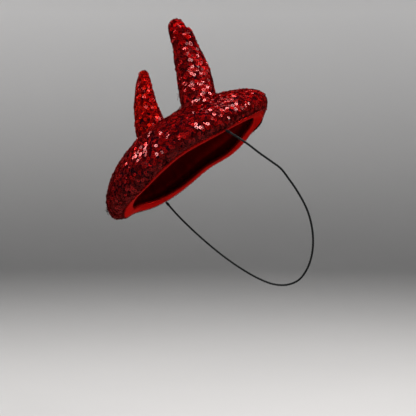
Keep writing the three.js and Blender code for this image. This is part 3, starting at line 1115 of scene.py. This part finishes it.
def makeLooseThreads():
    # ends that stand out of the crown and the horns, joined by colour
    s = looseThreads
    random = np.random.default_rng(s["seed"])
    found = {"black": [], "red": []}
    for _, bearing, angle, aroundSpread, upSpread, count, shortest, longest, colour in s["crown"]:
        b = np.radians(bearing + random.uniform(-1, 1, count) * aroundSpread)
        a = np.radians(angle + random.uniform(-1, 1, count) * upSpread)
        outward = unit(crownPoints(b, a, 0.0, 1.0) - crownPoints(b, a, 0.0))
        found[colour].append(looseLines(crownPoints(b, a, s["inside"]), outward, shortest, longest, random))
    for number, turn, height, aroundSpread, upSpread, count, shortest, longest, colour in s["horns"]:
        t = np.radians(turn + random.uniform(-1, 1, count) * aroundSpread)
        h = height + random.uniform(-1, 1, count) * upSpread
        start = toWorn(hornPoints(horns[number], t, h, s["inside"]))
        outward = unit(toWorn(hornPoints(horns[number], t, h, -1.0)) - start)
        found[colour].append(looseLines(start, outward, shortest, longest, random))
    for colour, material in (("black", blackThread), ("red", redThread)):
        lines, sideways = (np.concatenate(rows) for rows in zip(*found[colour]))
        threadTubes(colour + "LooseThreads", lines, stitchForm["bare"], sideways, material)
        print(colour, "loose threads:", len(lines))


makeSeamStitches()
makeFootStitches()
makeElasticTacks()
makeNetRoll()
makeLooseThreads()


# Satin facing and lining
satinForm = {
    "around": 360,
    "facingRows": 14,
    "noseRows": 7,
    "rowLength": 0.8,  # millimetres of the map for each ring of the facing
    "puckers": 0.2,  # millimetres
    "puckerWaves": [(1.0, 61, 0, 2, 5), (0.6, 97, 1, 0, 0)],  # strength, round, start, sway and its waves
    "puckerFade": 0.6,
    "creases": 1.4,
    "creaseBearing": (62, 26),  # middle and width in degrees, at the back left
    "creaseWaves": (9, 7),  # round, and inward
    "liningRows": 60,
    "gathers": 0.5,
    "gatherWaves": [(1.0, 23, 0.6, 1.5, 3), (0.6, 37, -1.1, 0, 0)],  # strength, round, up, sway and its waves
    "gatherTop": (0.1, 1.2),  # radians from the pole where the gathers die out
    "gatherFoot": (0.0, 0.5),  # and from the opening
}


def makeFacing():
    # a padded ring under the edge: a rounded nose at the opening and a turned edge at the seam;
    # its outside is the beret's outline, less the puckers and plus the creases sin(half turn inward)
    s, f = satinForm, crownForm
    seam = -math.radians(f["seamAngle"]) - f["clearance"] / (f["halfWidth"] - f["openingRadius"])
    a, b = sectionGrid(np.linspace(-math.pi / 2, seam, s["facingRows"]), s["around"])
    bearings = b[0]
    inward = (a - seam) / (-math.pi / 2 - seam)  # 0 at the seam, 1 at the opening
    waves = sum(
        strength * np.sin(around * b + start + sway * np.sin(swayWaves * b))
        for strength, around, start, sway, swayWaves in s["puckerWaves"]
    )
    puckers = s["puckers"] * waves * (1 - s["puckerFade"] * inward)
    middle, width = s["creaseBearing"]
    around, along = s["creaseWaves"]
    nearBack = np.exp(-(((np.degrees(b) - middle) / width) ** 2))
    creases = s["creases"] * nearBack * np.sin(around * b + along * inward)
    outer = crownPoints(b, a, 0.0, -np.abs(puckers) + creases * np.sin(math.pi * inward))
    inner = crownPoints(b, a, f["wall"])
    # the nose is a half circle as thick as the wall, from its inside to its outside
    turnIn = np.radians(np.linspace(0, 180, s["noseRows"]))[-2:0:-1, None]
    noseRadius = f["openingRadius"] - 0.5 * f["wall"] * np.sin(turnIn)
    noseHeight = f["wall"] / 2 * (1 - np.cos(turnIn)) + 0 * bearings
    x, y, z = soften(noseRadius * np.cos(bearings), noseRadius * np.sin(bearings), noseHeight)
    nose = toWorn(np.stack([x, y, z], -1))
    rings = np.concatenate([nose, outer, inner[::-1]])
    quads = gridQuads(len(rings), s["around"], wrapRows=True)
    piece = makePiece("satinFacing", rings.reshape(-1, 3), quads, None, facingSatin)
    u = np.tile(bearings * f["openingRadius"] * millimetre, len(rings))
    v = np.repeat(np.arange(len(rings)) * s["rowLength"] * millimetre, s["around"])
    layFlatMap(piece, u, v)
    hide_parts("underside_facing")
    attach(piece, "root")


def makeLining():
    # follows the cover's inside; gathers |sin(round bearing + sway + up angle)| run in from the opening
    # and die out towards the top
    s, f = satinForm, crownForm
    outside = f["wall"] + f["clearance"]
    angles = crownAngles(-math.pi / 2, s["liningRows"] // 3, s["liningRows"])
    a, b = sectionGrid(angles, s["around"])
    fade = smoothStep(math.pi / 2 - a, *s["gatherTop"]) * smoothStep(a + math.pi / 2, *s["gatherFoot"])
    waves = sum(
        strength * np.abs(np.sin(around * b + sway * np.sin(swayWaves * b) + up * a))
        for strength, around, up, sway, swayWaves in s["gatherWaves"]
    )
    gathers = waves * s["gathers"] * fade
    inner = crownPoints(b, a, outside + f["liningWall"], -gathers)
    outer = crownPoints(b, a, outside)
    piece = closedShell("satinLining", outer, inner, liningSatin)
    shellMap(piece, len(angles), s["around"], (angles - angles[0]) * f["height"] * millimetre, f["halfWidth"])
    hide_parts("crown_lining")
    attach(piece, "root")


makeFacing()
makeLining()
print("satin made")


# Studio
studio = {
    "floorHeight": -0.32,
    "floorRadius": 2.6,
    "sweepRadius": 1.4,
    "wallHeight": 2.6,
    "floorTone": (0.2, 0.2, 0.2),  # under the lamps
    "wallTone": (0.86, 0.86, 0.86),  # up the sweep, which is further from them
    "worldTone": (0.93, 0.96, 1.0),
    "worldStrength": 0.2,
    "flatRings": (0.02, 0.6, 1.4),  # radii of the rings on the flat part of the floor
    "around": 96,
    "sweepRows": 25,
    "toneRise": 1.6,  # how soon the paper turns from the floor's tone to the wall's
    "grain": 0.02,
    "grainScale": 3.0,
    "aim": (0.0, 0.0, 0.03),  # what the lamps point at
    # name, azimuth, elevation, distance, size, power, tint
    "lights": [
        ("keyLeft", 28.0, 57.0, 1.6, 0.4, 20.0, (1.0, 0.97, 0.95)),
        ("keyRight", 108.0, 60.0, 1.6, 0.34, 15.0, (1.0, 0.97, 0.95)),
        ("crownKey", 86.0, 38.0, 1.6, 0.42, 21.0, (1.0, 0.97, 0.95)),
        ("sideKey", 142.0, 46.0, 1.6, 0.42, 20.0, (1.0, 0.97, 0.95)),
        ("farKey", 166.0, 30.0, 1.6, 0.38, 17.0, (1.0, 0.97, 0.95)),
        ("highKey", 190.0, 72.0, 1.6, 0.44, 21.0, (1.0, 0.97, 0.95)),
        ("frontKey", 18.0, 6.0, 1.6, 0.38, 15.0, (1.0, 0.98, 0.96)),
        ("leftKey", -56.0, 32.0, 1.6, 0.42, 18.0, (1.0, 0.98, 0.96)),
        ("backSoft", 236.0, 52.0, 1.8, 0.7, 17.0, (1.0, 0.98, 0.97)),
    ],
}


def makeStudio():
    # the floor's profile: flat, then a quarter circle, then a wall, carried round the middle
    s = studio
    arc = np.radians(np.linspace(0, 90, s["sweepRows"]))
    radii = np.concatenate([s["flatRings"], s["floorRadius"] + s["sweepRadius"] * np.sin(arc)])
    heights = np.concatenate([[0] * len(s["flatRings"]), s["sweepRadius"] * (1 - np.cos(arc))])
    radii = np.append(radii, radii[-1])
    heights = np.append(heights, s["wallHeight"]) + s["floorHeight"]
    turn = np.linspace(0, fullTurn, s["around"], endpoint=False)
    rings = np.stack([
        radii[:, None] * np.cos(turn), radii[:, None] * np.sin(turn), heights[:, None] + 0 * turn,
    ], -1)
    vertices = np.vstack([rings.reshape(-1, 3), [0, 0, s["floorHeight"]]])
    triangles = fanTriangles(np.arange(s["around"]), len(vertices) - 1, True)
    paper = Finish("studioPaper")
    place = placeTint(paper)
    height = paper.add("ShaderNodeSeparateXYZ", {}, {"Vector": place}, output=2)
    grain = noiseTint(paper, place, s["grainScale"])
    upWall = (height - s["floorHeight"]) * (s["toneRise"] / s["sweepRadius"]) + grain * s["grain"]
    tint = mixTint(paper, upWall, s["floorTone"], s["wallTone"])
    floor = makePiece(
        "studioFloor", vertices, gridQuads(len(radii), s["around"])[:, ::-1], triangles[:, ::-1],
        paper.surface(Base_Color=tint, Roughness=0.85),
    )
    target = Vector(s["aim"])
    for name, azimuth, elevation, distance, size, power, tint in s["lights"]:
        lamp = bpy.data.lights.new(name, "AREA")
        lamp.shape = "DISK"
        lamp.size, lamp.energy, lamp.color = size, power, tint
        holder = bpy.data.objects.new(name, lamp)
        bpy.context.collection.objects.link(holder)
        aimAt(holder, target + fromAround(azimuth, elevation, distance), target)
    world = bpy.data.worlds.new("studioWorld")
    world.use_nodes = True
    glow = next(n for n in world.node_tree.nodes if n.type == "BACKGROUND")
    glow.inputs["Color"].default_value = (*s["worldTone"], 1)
    glow.inputs["Strength"].default_value = s["worldStrength"]
    bpy.context.scene.world = world


makeStudio()
print("studio made")
